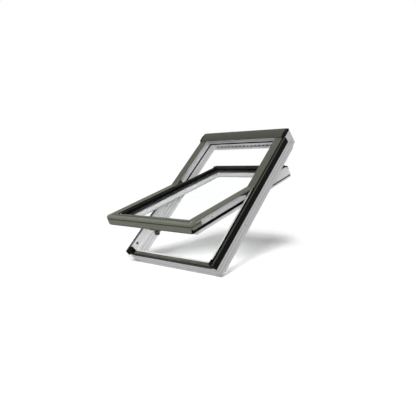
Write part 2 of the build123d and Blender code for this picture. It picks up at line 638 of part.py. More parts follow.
with BuildPart() as glazing_strip_top:
    with BuildSketch(across(sash, -GLASS_HALF)):
        with BuildLine():
            Polyline(
                (GLASS_HEAD, TOP_STRIP_BACK), (GLASS_HEAD, HEM_FOOT),
                (GLASS_HEAD - TOP_STRIP_CREST, HEM_FOOT), (GLASS_HEAD - TOP_STRIP_WIDE, TOP_STRIP_TOE),
                (GLASS_HEAD - TOP_STRIP_WIDE, TOP_STRIP_BACK), close=True,
            )
        make_face()
    extrude(amount=2 * GLASS_HALF)
    split(bisect_by=mitre(sash, GLASS_HALF, GLASS_HEAD, (-1, 1)), keep=Keep.TOP)
    split(bisect_by=mitre(sash, -GLASS_HALF, GLASS_HEAD, (1, 1)), keep=Keep.TOP)
save(glazing_strip_top.part, "glazing_strip_top")

with BuildPart() as glazing_strip_bottom:
    with BuildSketch(across(sash, -GLASS_HALF)):
        with Locations((GLASS_FOOT, LOW_STRIP_BACK)):
            Rectangle(LOW_STRIP_WIDE, LOW_STRIP_HEIGHT, align=(Align.MIN, Align.MIN))
    extrude(amount=2 * GLASS_HALF)
    split(bisect_by=mitre(sash, GLASS_HALF, GLASS_FOOT, (-1, -1)), keep=Keep.TOP)
    split(bisect_by=mitre(sash, -GLASS_HALF, GLASS_FOOT, (1, -1)), keep=Keep.TOP)
save(glazing_strip_bottom.part, "glazing_strip_bottom")

# Sash covers on the lower half and along the foot
with BuildPart() as sash_right_cover:
    with BuildSketch(down_slope(sash, COVER_HEAD)):
        with BuildLine():
            FilletPolyline(
                (COVER_INNER + SHEET / 2, HEM_FOOT), (COVER_INNER + SHEET / 2, COVER_SHEET),
                (COVER_OUTER - SHEET / 2, COVER_SHEET), (COVER_OUTER - SHEET / 2, PIVOT_DEPTH - COVER_LEG),
                radius=BEND,
            )
        trace(line_width=SHEET)
    extrude(amount=COVER_HEAD - SIDE_COVER_FOOT)
save(sash_right_cover.part, "sash_right_cover")

with BuildPart() as sash_left_cover:
    mirror(sash_right_cover.part, about=Plane.YZ)
save(sash_left_cover.part, "sash_left_cover")

with BuildPart() as sash_bottom_cover:
    with BuildSketch(across(sash, -COVER_OUTER)):
        with BuildLine():
            FilletPolyline(
                (SASH_COVER_INNER - SHEET / 2, HEM_FOOT), (SASH_COVER_INNER - SHEET / 2, COVER_SHEET),
                (COVER_FRONT + COVER_SLOPE_RUN, COVER_SHEET), (COVER_FRONT, COVER_SHEET - COVER_SLOPE_DROP),
                (COVER_FRONT, COVER_STEP_TOP),
                (COVER_FRONT + COVER_STEP_DEPTH, COVER_STEP_TOP - COVER_STEP_BEVEL),
                (COVER_FRONT + COVER_STEP_DEPTH, STEP_BOTTOM + COVER_STEP_BEVEL),
                (COVER_FRONT, STEP_BOTTOM), (COVER_FRONT, COVER_CURL_TOP),
                (COVER_FRONT + COVER_STEP_DEPTH, COVER_CURL_TOP - COVER_STEP_BEVEL),
                (COVER_FRONT + COVER_STEP_DEPTH, COVER_FOOT), radius=BEND,
            )
        trace(line_width=SHEET)
    extrude(amount=2 * COVER_OUTER)
    with BuildSketch(down_slope(sash, SASH_COVER_FOOT)):
        with BuildLine():
            Polyline(
                (COVER_OUTER, COVER_CORNER_TOP), (COVER_OUTER, COVER_FOOT),
                (COVER_OUTER - COVER_CORNER_CUT, COVER_FOOT), close=True,
            )
        corner = make_face()
        mirror(corner, about=Plane.YZ)
    extrude(amount=-SASH_COVER_WIDTH / 2, mode=Mode.SUBTRACT)
    with BuildSketch(across(sash, COVER_OUTER - SHEET)):
        with BuildLine():
            Polyline(
                (SASH_COVER_INNER, COVER_SHEET), (COVER_FRONT + COVER_SLOPE_RUN, COVER_SHEET),
                (COVER_FRONT, COVER_SHEET - COVER_SLOPE_DROP), (COVER_FRONT, WRAP_FOOT + WRAP_NOTCH_HEIGHT),
                (COVER_FRONT + WRAP_NOTCH_LENGTH, WRAP_FOOT), (SASH_COVER_INNER + WRAP_TAIL, WRAP_FOOT),
                (SASH_COVER_INNER + WRAP_TAIL, WRAP_TOP), (SASH_COVER_INNER, WRAP_TOP), close=True,
            )
        make_face()
    wrap = extrude(amount=SHEET)
    mirror(wrap, about=Plane.YZ)
save(sash_bottom_cover.part, "sash_bottom_cover")

with BuildPart() as sash_right_block:
    with BuildSketch(across(sash, SASH_HALF + FIT)):
        with Locations((NOSE_FOOT, BLOCK_FOOT)):
            Rectangle(BLOCK_LENGTH, BLOCK_HEIGHT, align=(Align.MIN, Align.MIN))
    extrude(amount=COVER_OUTER - SHEET - SASH_HALF - 2 * FIT)
save(sash_right_block.part, "sash_right_block")

with BuildPart() as sash_left_block:
    mirror(sash_right_block.part, about=Plane.YZ)
save(sash_left_block.part, "sash_left_block")

# Sash seals: a deep one in the lower half, where the sash closes from outside, and a flat one above
with BuildPart() as sash_right_seal:
    with BuildSketch(down_slope(sash, -HINGE_LENGTH / 2)):
        with Locations((SASH_HALF, SEAL_OUT)):
            Rectangle(SEAL_PROUD, SEAL_DEPTH, align=(Align.MIN, Align.MAX))
    extrude(amount=-HINGE_LENGTH / 2 - SASH_FOOT)
    with BuildSketch(down_slope(sash, SASH_HEAD)):
        with Locations((SASH_HALF, UPPER_SEAL_OUT)):
            Rectangle(UPPER_SEAL_PROUD, UPPER_SEAL_DEPTH, align=(Align.MIN, Align.MAX))
    extrude(amount=SASH_HEAD - HINGE_LENGTH / 2)
save(sash_right_seal.part, "sash_right_seal")

with BuildPart() as sash_left_seal:
    mirror(sash_right_seal.part, about=Plane.YZ)
save(sash_left_seal.part, "sash_left_seal")

with BuildPart() as sash_bottom_seal:
    with BuildSketch(across(sash, -SASH_HALF)):
        with Locations((SASH_FOOT, NOSE_BACK)):
            Rectangle(SEAL_DEPTH, SEAL_PROUD, align=(Align.MAX, Align.MAX))
    extrude(amount=2 * SASH_HALF)
save(sash_bottom_seal.part, "sash_bottom_seal")

# Hinges: a plate on each frame stile, a plate on each sash stile, and the pivot pin between them
with BuildPart() as frame_right_hinge:
    with BuildSketch(across(window, REBATE_INNER - HINGE_PLATE)):
        with Locations((PIVOT_UP, REBATE_OUT)):
            Rectangle(HINGE_LENGTH, HINGE_TOP - REBATE_OUT, align=(Align.CENTER, Align.MIN))
    extrude(amount=HINGE_PLATE)
    with BuildSketch(across(window, SASH_HALF + HINGE_PLATE)):
        with Locations((PIVOT_UP, PIVOT_OUT)):
            Circle(PIN_RADIUS)
    extrude(amount=REBATE_INNER - HINGE_PLATE - SASH_HALF - HINGE_PLATE)
save(frame_right_hinge.part, "frame_right_hinge")

with BuildPart() as frame_left_hinge:
    mirror(frame_right_hinge.part, about=Plane.YZ)
save(frame_left_hinge.part, "frame_left_hinge")

with BuildPart() as sash_right_hinge:
    with BuildSketch(across(sash, SASH_HALF)):
        with BuildLine():
            Polyline(
                (-HINGE_TAIL, SASH_TOP), (-HINGE_LENGTH / 4, -HINGE_HEIGHT),
                (HINGE_LENGTH / 4, -HINGE_HEIGHT), (HINGE_LENGTH / 2, HINGE_TOP - PIVOT_OUT),
                (-HINGE_TAIL, HINGE_TOP - PIVOT_OUT), close=True,
            )
        make_face()
    extrude(amount=HINGE_PLATE)
    with BuildSketch(across(window, SASH_HALF)):
        with Locations((UPPER_COVER_END - FIT, HINGE_TOP)):
            Rectangle(HINGE_LENGTH, HINGE_HEIGHT, align=(Align.MIN, Align.MIN))
    extrude(amount=HINGE_PLATE, mode=Mode.SUBTRACT)
save(sash_right_hinge.part, "sash_right_hinge")

with BuildPart() as sash_left_hinge:
    mirror(sash_right_hinge.part, about=Plane.YZ)
save(sash_left_hinge.part, "sash_left_hinge")

# Handle on the room side of the bottom sash rail
with BuildPart() as handle_base:
    with BuildSketch(facing(sash, SASH_BACK)):
        with Locations((HANDLE_OFFSET, HANDLE_MIDDLE)):
            RectangleRounded(HANDLE_PLATE_LENGTH, HANDLE_PLATE_WIDTH, HANDLE_ROUND)
    extrude(amount=-HANDLE_PLATE)
save(handle_base.part, "handle_base")

with BuildPart() as handle:
    with BuildSketch(facing(sash, SASH_BACK - HANDLE_PLATE)):
        with Locations((HANDLE_OFFSET, HANDLE_MIDDLE)):
            Circle(HANDLE_NECK / 2)
    extrude(amount=-HANDLE_NECK_LENGTH)
    with BuildSketch(facing(sash, SASH_BACK - HANDLE_PLATE - HANDLE_NECK_LENGTH)):
        with Locations((HANDLE_OFFSET, HANDLE_MIDDLE)):
            RectangleRounded(2 * HANDLE_RADIUS, HANDLE_THICK, HANDLE_ROUND)
    extrude(amount=-HANDLE_REACH)
    fillet(faces().sort_by(Axis(sash.origin, sash.z_dir))[0].edges(), HANDLE_ROUND / 2)
save(handle.part, "handle")
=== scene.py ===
import functools
import json
import math

import bmesh
import bpy
from mathutils import Matrix, Vector


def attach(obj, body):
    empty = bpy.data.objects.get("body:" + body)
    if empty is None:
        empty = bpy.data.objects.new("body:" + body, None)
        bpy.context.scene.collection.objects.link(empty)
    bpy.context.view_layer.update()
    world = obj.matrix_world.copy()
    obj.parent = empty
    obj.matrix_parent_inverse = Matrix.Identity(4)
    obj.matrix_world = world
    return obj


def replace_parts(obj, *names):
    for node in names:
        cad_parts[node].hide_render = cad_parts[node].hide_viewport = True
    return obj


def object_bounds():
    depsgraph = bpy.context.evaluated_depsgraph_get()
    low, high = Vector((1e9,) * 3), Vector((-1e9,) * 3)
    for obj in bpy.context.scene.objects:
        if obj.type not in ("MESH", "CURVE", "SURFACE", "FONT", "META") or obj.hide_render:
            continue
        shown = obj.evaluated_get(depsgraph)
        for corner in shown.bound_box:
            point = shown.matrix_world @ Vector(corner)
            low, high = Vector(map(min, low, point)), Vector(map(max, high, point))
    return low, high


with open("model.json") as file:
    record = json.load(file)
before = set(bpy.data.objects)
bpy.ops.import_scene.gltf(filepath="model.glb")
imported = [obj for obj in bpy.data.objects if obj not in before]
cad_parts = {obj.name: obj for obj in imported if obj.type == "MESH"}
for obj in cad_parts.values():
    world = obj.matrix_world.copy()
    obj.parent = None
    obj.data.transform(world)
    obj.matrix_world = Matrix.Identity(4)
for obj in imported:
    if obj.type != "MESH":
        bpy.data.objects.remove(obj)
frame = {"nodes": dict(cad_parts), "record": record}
cad_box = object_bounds()
nodes = frame["nodes"]

# Camera: the photograph's width and focal length in pixels, sensor in millimetres, place in
# metres, angles in degrees
PHOTO_SIZE = 416
FOCAL_PIXELS = 471.0
SENSOR_WIDTH = 36.0
CAMERA_AT = (2.1399, -2.1798, 0.6352)
CAMERA_YAW = -40.66
CAMERA_PITCH = 4.62

# Lamps: strength, spread in degrees and the direction the light comes from. Two light the
# window alone. The others light the floor alone, so that the shadow fans out.
WINDOW_LIGHTS = {
    "top_light": (1.5, 70.0, (0.1, -0.25, 1.0)),
    "front_light": (1.8, 35.0, (0.62, -0.75, 0.1)),
}
FLOOR_LIGHTS = {
    "floor_light_1": (2.3, 11.0, (0.456, -0.72, 0.56)),
    "floor_light_2": (1.3, 9.0, (0.36, -0.7, 0.66)),
    "floor_light_3": (0.5, 12.0, (0.2, -0.62, 0.76)),
}

# Surround and floor: what the surround gives as light, half the floor's side in metres, the
# share of light that the floor sends back, and what it glows by where it is seen
WORLD_LEVEL = 0.22
FLOOR_HALF = 60.0
FLOOR_BOUNCE = 0.38
FLOOR_GLOW = 0.02

# The frame lies at the roof's pitch, and the sash is turned about the pivot. Each has its own
# space in millimetres: across the window, up its slope and out of its face.
ROOF_PITCH = 45.0
SASH_SLOPE = 17.5
MOUNT_UP = 12.0
PIVOT_UP = 619.0
PIVOT_OUT = 130.0
MILLIMETRE = 0.001

FRAME_SPACE = Matrix.Rotation(math.radians(ROOF_PITCH), 4, "X") @ Matrix.Translation(
    (0, -MOUNT_UP, 0)
)
SASH_SPACE = Matrix.Translation(
    FRAME_SPACE @ Vector((0, PIVOT_UP, PIVOT_OUT))
) @ Matrix.Rotation(math.radians(SASH_SLOPE), 4, "X")
SPACES = {"frame": FRAME_SPACE, "sash": SASH_SPACE}
SASH_NODES = ("sash_", "glazing_", "spacer_bar", "handle")

# Directions in both spaces
OUTWARD = (0, 0, 1)
INWARD = (0, 0, -1)
TO_SIDE = (1, 0, 0)
TO_MIDDLE = (-1, 0, 0)
DOWN_SLOPE = (0, -1, 0)

# ---------------------------------------------------------------------------- finishes

# Each slot's finish: two colours in soft blotches and a third in drawn lines, the lines' share,
# noise scales for each millimetre, bump depths in metres, a range of roughness, and where edges
# get scuffed, the colour that shows there, which also serves as a painted edge highlight
LOOKS = {
    "white_pvc": {
        "base": (0.86, 0.86, 0.87), "other": (0.78, 0.78, 0.79), "line": (0.7, 0.7, 0.71),
        "streak": 0.35, "blotch": 0.045, "lines": 0.5, "grain": 2.2,
        "line_depth": 0.00008, "grain_depth": 0.00003, "gloss": (0.3, 0.42), "specular": 0.3,
    },
    "cover_metal": {
        "base": (0.125, 0.128, 0.106), "other": (0.108, 0.111, 0.09), "line": (0.085, 0.088, 0.07),
        "streak": 0.4, "blotch": 0.02, "lines": 0.35, "grain": 3.0,
        "line_depth": 0.00006, "grain_depth": 0.00004, "gloss": (0.42, 0.55), "specular": 0.08,
        "edge_wear_and_highlight": (0.3, 0.3, 0.27),
    },
    "black_plastic": {
        "base": (0.004, 0.0045, 0.0035), "other": (0.007, 0.0075, 0.006),
        "line": (0.012, 0.012, 0.01),
        "streak": 0.5, "blotch": 0.04, "lines": 0.4, "grain": 2.5,
        "line_depth": 0.00008, "grain_depth": 0.00005, "gloss": (0.45, 0.6), "specular": 0.02,
        "edge_wear_and_highlight": (0.035, 0.035, 0.032),
    },
    "black_rubber": {
        "base": (0.004, 0.0042, 0.0035), "other": (0.008, 0.008, 0.007),
        "line": (0.012, 0.012, 0.011),
        "streak": 0.5, "blotch": 0.05, "lines": 0.6, "grain": 3.5,
        "line_depth": 0.0002, "grain_depth": 0.00005, "gloss": (0.6, 0.75), "specular": 0.01,
    },
    "grey_plastic": {
        "base": (0.55, 0.55, 0.56), "other": (0.5, 0.5, 0.51), "line": (0.44, 0.44, 0.45),
        "streak": 0.3, "blotch": 0.05, "lines": 0.5, "grain": 3.0,
        "line_depth": 0.00006, "grain_depth": 0.00006, "gloss": (0.4, 0.52), "specular": 0.35,
    },
    "handle_plastic": {
        "base": (0.05, 0.052, 0.045), "other": (0.04, 0.042, 0.036), "line": (0.07, 0.07, 0.062),
        "streak": 0.3, "blotch": 0.06, "lines": 0.6, "grain": 4.0,
        "line_depth": 0.00004, "grain_depth": 0.00008, "gloss": (0.38, 0.5), "specular": 0.3,
        "edge_wear_and_highlight": (0.14, 0.14, 0.13),
    },
    "hinge_steel": {
        "base": (0.03, 0.031, 0.028), "other": (0.05, 0.05, 0.046), "line": (0.09, 0.09, 0.085),
        "streak": 0.35, "blotch": 0.05, "lines": 0.8, "grain": 4.0,
        "line_depth": 0.00004, "grain_depth": 0.00003, "gloss": (0.38, 0.55), "specular": 0.3,
        "metal": 0.2, "edge_wear_and_highlight": (0.3, 0.3, 0.29),
    },
    "spacer_aluminium": {
        "base": (0.42, 0.42, 0.43), "other": (0.36, 0.36, 0.37), "line": (0.3, 0.3, 0.31),
        "streak": 0.5, "blotch": 0.05, "lines": 1.0, "grain": 4.0,
        "line_depth": 0.00005, "grain_depth": 0.00003, "gloss": (0.42, 0.55), "specular": 0.1,
    },
}
# Detail and roughness of each noise, and the spans of their values that the finishes use
BLOTCH_NOISE = (5.0, 0.62)
LINE_NOISE = (4.0, 0.6)
GRAIN_NOISE = (2.0, 0.5)
SMEAR_NOISE = (4.0, 0.5)
NOISE_SPAN = (0.3, 0.7)
LINE_SPAN = (0.35, 0.75)
SMEAR_SPAN = (0.3, 0.8)
LINE_BUMP = 0.6
GRAIN_BUMP = 0.5

# Scuffed edges, which also serve as a painted edge highlight: how far in metres an edge is
# rounded, the cosines between which it counts as turned, the most that the scuffed colour
# covers, and how far the drawn lines break it up
WEAR_AND_HIGHLIGHT_RADIUS = 0.0008
WEAR_AND_HIGHLIGHT_SAMPLES = 4
WEAR_AND_HIGHLIGHT_TURN = (0.98, 0.8)
WEAR_AND_HIGHLIGHT_MOST = 0.6
WEAR_AND_HIGHLIGHT_PATCHES = (0.2, 1.0)

GLASS_TINT = (0.985, 0.99, 0.988, 1)
GLASS_SHADOW = (0.7, 0.71, 0.7, 1)
GLASS_IOR = 1.015
SMEAR_SCALE = 0.01
SMEAR_ROUGHNESS = 0.004

# Drawn lines are noise pulled long up the slope, but across on the pieces that are listed
RUNS = {"up": (1.0, 0.004, 1.0), "across": (0.004, 1.0, 1.0)}
RUN_ACROSS = (
    "frame_top_rail", "frame_bottom_rail", "frame_top_seal", "vent_grille", "top_hood",
    "hood_right_cap", "hood_left_cap", "sill_strip", "sash_top_rail", "sash_bottom_rail",
    "glazing_strip_top", "glazing_strip_bottom", "sash_bottom_cover", "sash_bottom_seal",
)

# Bands of another shade: axis, from, to, softness, colour, strength. Most are painted shade: on
# the frame's outer sides and the foot's front, along its ribs, under the hood's lip and in the
# covers' grooves. The sill strip's front band is only darker.
# Painted shade: the frame's outer side faces and the foot's front end are drawn darker, as if in
# shade
PAINTED_OUTER_SHADE = (0.64, 0.64, 0.65)
# Painted shade: dark lines along the frame's stiles and foot, where its ribs would be shaded
PAINTED_RIB_SHADE = (0.36, 0.36, 0.37)
# Painted shade: dark lines in the grooves of the sash covers, on their tops and down the bottom
# cover's front
PAINTED_GROOVE_SHADE = (0.05, 0.051, 0.042)
# Painted shade: a dark line along the hood's lower lip
PAINTED_HOOD_LIP_SHADE = (0.045, 0.046, 0.038)
SILL_TONE = (0.03, 0.031, 0.024)
# Two painted shade lines at two heights out of the frame's face
PAINTED_RIB_SHADES = (("Z", 26.6, 31.4, 0.8, PAINTED_RIB_SHADE, 0.7), ("Z", 53.6, 58.4, 0.8, PAINTED_RIB_SHADE, 0.7))
MARKS = {
    "frame_right_stile": (("X", 384.0, 391.0, 0.4, PAINTED_OUTER_SHADE, 0.95), *PAINTED_RIB_SHADES),
    "frame_left_stile": (("X", -391.0, -384.0, 0.4, PAINTED_OUTER_SHADE, 0.95), *PAINTED_RIB_SHADES),
    "frame_bottom_rail": (("Y", -1.0, 1.6, 0.4, PAINTED_OUTER_SHADE, 0.8), *PAINTED_RIB_SHADES),
    "sill_strip": (("Y", -6.0, 11.0, 1.5, SILL_TONE, 0.9),),
    "top_hood": (("Z", 136.0, 139.6, 0.8, PAINTED_HOOD_LIP_SHADE, 0.9),),
    "sash_bottom_cover": (
        ("Z", -19.5, -12.5, 1.5, PAINTED_GROOVE_SHADE, 0.8),
        ("Z", -56.0, -50.0, 1.5, PAINTED_GROOVE_SHADE, 0.6),
    ),
    "sash_right_cover": (
        ("X", 344.0, 350.0, 1.5, PAINTED_GROOVE_SHADE, 0.75),
        ("X", 361.0, 366.0, 1.5, PAINTED_GROOVE_SHADE, 0.5),
    ),
    "sash_left_cover": (
        ("X", -350.0, -344.0, 1.5, PAINTED_GROOVE_SHADE, 0.75),
        ("X", -366.0, -361.0, 1.5, PAINTED_GROOVE_SHADE, 0.5),
    ),
}
# Pieces that are lighter or darker than their slot's colours. On the covers, their ridges, the
# hood and the sash's right stile this is painted light and shade, lit and shaded copies of one
# finish; the glazing strips, trims and spacer bar are only made darker.
TONES_AND_PAINTED_LIGHT = {
    "top_hood": 0.62, "sash_right_cover": 1.35, "sash_left_cover": 1.3,
    "sash_bottom_cover": 1.9, "sash_cover_ridges": 1.7, "sash_right_stile": 1.07,
    "glazing_strip_top": 0.38, "glazing_strip_bottom": 0.38,
    "glazing_strip_right": 0.38, "glazing_strip_left": 0.38,
    "right_trim": 0.5, "left_trim": 0.5, "spacer_bar": 0.12,
}


def space_of(name):
    """Whether a node or piece lies in the frame's space or in the sash's."""
    return "sash" if name.startswith(SASH_NODES) else "frame"


class Tree:
    """Short calls for building a shader node tree."""

    def __init__(self, tree):
        self.tree = tree

    def add(self, kind, inputs=None, **settings):
        """A node with its settings, each input being another node's output or a constant."""
        node = self.tree.nodes.new(kind)
        for name, value in settings.items():
            setattr(node, name, value)
        for name, value in (inputs or {}).items():
            if isinstance(value, bpy.types.NodeSocket):
                self.tree.links.new(value, node.inputs[name])
            else:
                node.inputs[name].default_value = value
        return node

    def maths(self, operation, first, second=0.0):
        """One operation on two numbers."""
        return self.add("ShaderNodeMath", {0: first, 1: second}, operation=operation).outputs[0]

    def vector_maths(self, operation, first, second):
        """One operation on two places or directions."""
        return self.add("ShaderNodeVectorMath", {0: first, 1: second}, operation=operation)

    def place(self, space):
        """Position in millimetres in the frame's or the sash's own directions."""
        inward = space.inverted()
        spot = self.add("ShaderNodeTexCoord")
        inputs = {
            "Vector": spot.outputs["Object"],
            "Location": inward.to_translation(),
            "Rotation": inward.to_euler(),
            "Scale": (1 / MILLIMETRE, 1 / MILLIMETRE, 1 / MILLIMETRE),
        }
        return self.add("ShaderNodeMapping", inputs).outputs["Vector"]

    def noise(self, vector, scale, detail, roughness):
        """Uneven value around a half."""
        inputs = {"Vector": vector, "Scale": scale, "Detail": detail, "Roughness": roughness}
        return self.add("ShaderNodeTexNoise", inputs).outputs["Fac"]

    def remap(self, value, low, high, first, last):
        """A value carried from one range to another, held at its ends."""
        inputs = {
            "Value": value, "From Min": low, "From Max": high, "To Min": first, "To Max": last,
        }
        return self.add("ShaderNodeMapRange", inputs).outputs["Result"]

    def blend(self, factor, first, second):
        """A colour between two others, each of them a socket or three numbers."""
        first, second = (
            (*shade, 1.0) if isinstance(shade, tuple) else shade for shade in (first, second)
        )
        inputs = {"Fac": factor, "Color1": first, "Color2": second}
        return self.add("ShaderNodeMixRGB", inputs).outputs["Color"]

    def band(self, value, low, high, soft):
        """One between two edges and nought outside them, with soft sides."""
        middle = self.maths("SUBTRACT", value, (low + high) / 2)
        away = self.maths("ABSOLUTE", middle)
        half = (high - low) / 2
        return self.remap(away, half - soft / 2, half + soft / 2, 1.0, 0.0)

    def bump(self, strength, depth, height, **inputs):
        """Small relief from a noise."""
        inputs = {"Strength": strength, "Distance": depth, "Height": height, **inputs}
        return self.add("ShaderNodeBump", inputs).outputs["Normal"]

    def end(self, shader, output="ShaderNodeOutputMaterial"):
        """Show a shader on the surface."""
        self.add(output, {"Surface": shader.outputs[0]})


def new_material(name):
    """An empty material and its tree."""
    material = bpy.data.materials.new(name)
    material.use_nodes = True
    material.node_tree.nodes.clear()
    return material, Tree(material.node_tree)


def add_marks(tree, shade, place, marks):
    """Bands of another shade laid over a colour, most of them painted shade."""
    axes = tree.add("ShaderNodeSeparateXYZ", {"Vector": place})
    for axis, low, high, soft, colour, strength in marks:
        band = tree.band(axes.outputs[axis], low, high, soft)
        shade = tree.blend(tree.maths("MULTIPLY", band, strength), shade, colour)
    return shade


def add_edge_wear_and_highlight(tree, shade, lines, wear_and_highlight_colour):
    """Scuffed edges show another colour, which also serves as a painted highlight, where a rounded
    direction differs from the flat one.
    """
    rounded = tree.add("ShaderNodeBevel", {"Radius": WEAR_AND_HIGHLIGHT_RADIUS}, samples=WEAR_AND_HIGHLIGHT_SAMPLES)
    flat = tree.add("ShaderNodeNewGeometry")
    turn = tree.vector_maths("DOT_PRODUCT", rounded.outputs["Normal"], flat.outputs["Normal"])
    wear_and_highlight_mask = tree.maths(
        "MULTIPLY",
        tree.remap(turn.outputs["Value"], *WEAR_AND_HIGHLIGHT_TURN, 0.0, WEAR_AND_HIGHLIGHT_MOST),
        tree.remap(lines, *NOISE_SPAN, *WEAR_AND_HIGHLIGHT_PATCHES),
    )
    return tree.blend(wear_and_highlight_mask, shade, wear_and_highlight_colour)


@functools.cache
def surface(slot, space_name, run_name, piece):
    """A finish with drawn lines along the piece, soft blotches, fine grain and uneven gloss.

    The piece is named where it has marks or a lightness of its own; most marks are painted shade,
    and on several pieces that lightness is painted light and shade.
    """
    # A piece's lightness, which on several pieces is painted light and shade
    look, lightness = LOOKS[slot], TONES_AND_PAINTED_LIGHT.get(piece, 1.0)
    base, other, line = (
        tuple(lightness * part for part in look[shade]) for shade in ("base", "other", "line")
    )
    name = "_".join(word for word in (slot, space_name, run_name, piece) if word)
    material, tree = new_material(name)
    place = tree.place(SPACES[space_name])
    drawn = tree.vector_maths("MULTIPLY", place, RUNS[run_name]).outputs["Vector"]
    blotch = tree.noise(place, look["blotch"], *BLOTCH_NOISE)
    lines = tree.noise(drawn, look["lines"], *LINE_NOISE)
    grain = tree.noise(place, look["grain"], *GRAIN_NOISE)
    shade = tree.blend(tree.remap(blotch, *NOISE_SPAN, 0.0, 1.0), base, other)
    shade = tree.blend(tree.remap(lines, *LINE_SPAN, 0.0, look["streak"]), shade, line)
    # Marks, mostly painted shade on outer faces, along ribs, under the hood's lip and in grooves
    shade = add_marks(tree, shade, place, MARKS.get(piece, ()))
    # Lighter edges: partly scuffing, partly a painted edge highlight
    if "edge_wear_and_highlight" in look:
        shade = add_edge_wear_and_highlight(tree, shade, lines, look["edge_wear_and_highlight"])
    fine = tree.bump(GRAIN_BUMP, look["grain_depth"], grain)
    inputs = {
        "Base Color": shade,
        "Metallic": look.get("metal", 0.0),
        "Roughness": tree.remap(blotch, *NOISE_SPAN, *look["gloss"]),
        "Specular IOR Level": look["specular"],
        "Normal": tree.bump(LINE_BUMP, look["line_depth"], lines, Normal=fine),
    }
    tree.end(tree.add("ShaderNodeBsdfPrincipled", inputs))
    return material


@functools.cache
def clear_glass():
    """Colourless glass with faint smears, which lets lamp light through."""
    material, tree = new_material("clear_glass")
    smear = tree.noise(tree.place(SASH_SPACE), SMEAR_SCALE, *SMEAR_NOISE)
    inputs = {
        "Base Color": GLASS_TINT,
        "Roughness": tree.remap(smear, *SMEAR_SPAN, 0.0, SMEAR_ROUGHNESS),
        "IOR": GLASS_IOR,
        "Transmission Weight": 1.0,
    }
    glass = tree.add("ShaderNodeBsdfPrincipled", inputs)
    through = tree.add("ShaderNodeBsdfTransparent", {"Color": GLASS_SHADOW})
    path = tree.add("ShaderNodeLightPath")
    inputs = {0: path.outputs["Is Shadow Ray"], 1: glass.outputs[0], 2: through.outputs[0]}
    tree.end(tree.add("ShaderNodeMixShader", inputs))
    return material


def finish_for(node, slot):
    """The finish that a node's slot, body and run call for."""
    if slot == "clear_glass":
        return clear_glass()
    run_name = "across" if node in RUN_ACROSS else "up"
    piece = node if node in MARKS or node in TONES_AND_PAINTED_LIGHT else ""
    return surface(slot, space_of(node), run_name, piece)


def dress_nodes():
    """Give each carried over node the finish that its record slot names."""
    for row in frame["record"]["subparts"]:
        part = nodes[row["node"]]
        part.data.materials.clear()
        part.data.materials.append(finish_for(row["node"], row["material_slot"]))


# ---------------------------------------------------------------------------- small pieces

# All in millimetres in the frame's or the sash's space. Where a piece is on both sides, these
# are the right side's places, and the left side mirrors them. Heads and beads start SINK below
# the surface, and edges sharper than SMOOTH_ANGLE degrees stay sharp.
SINK = 0.6
SMOOTH_ANGLE = 38

# Heads: piece, slot, radius, height, crossed, direction, places
HEADS = (
    ("frame_hinge_screws", "spacer_aluminium", 4.0, 1.4, True, TO_MIDDLE,
     ((351.5, 560, 92), (351.5, 560, 122), (351.5, 678, 92), (351.5, 678, 122))),
    ("frame_side_screws", "hinge_steel", 4.0, 1.0, True, TO_SIDE,
     ((390, 370, 47), (390, 1137, 49))),
    ("frame_foot_plugs", "handle_plastic", 10.0, 1.8, True, TO_MIDDLE, ((354, 79, 113),)),
    ("cover_end_screws", "spacer_aluminium", 3.5, 1.4, True, OUTWARD, ((366, 622, 138),)),
    ("sill_screws", "spacer_aluminium", 4.0, 1.4, True, OUTWARD, ((330, 22, 87),)),
    ("hood_cap_screws", "hinge_steel", 4.0, 1.4, True, TO_SIDE, ((386, 1150, 136),)),
    ("sash_hinge_rivets", "spacer_aluminium", 4.2, 1.5, False, TO_SIDE,
     ((346.5, -140, -3), (346.5, -100, -8), (346.5, -60, -12), (346.5, -20, -22),
      (346.5, 25, -22))),
    ("sash_side_screws", "hinge_steel", 4.0, 1.2, True, TO_SIDE,
     ((344, -60, -38), (344, -420, -38))),
    ("sash_corner_screws", "spacer_aluminium", 5.0, 1.8, True, OUTWARD, ((360, -616, 8),)),
)
HANDLE_SCREWS = ((-56, -557, -97), (20, -557, -97))
HANDLE_SCREW_RADIUS = 3.5
HANDLE_SCREW_HEIGHT = 1.2

# A head's sides and its dome's rings, as shares of its height and radius, then its cross: how
# many points each arm has, and its reach, waist, taper and depth as shares
HEAD_SIDES = 32
DOME = ((0.3, 1.0), (0.7, 0.9), (0.92, 0.74), (1.0, 0.56))
CROSS_ARM = 3
CROSS_REACH = 0.5
CROSS_WAIST = 0.15
CROSS_TAPER = 0.8
CROSS_DEPTH = 0.6

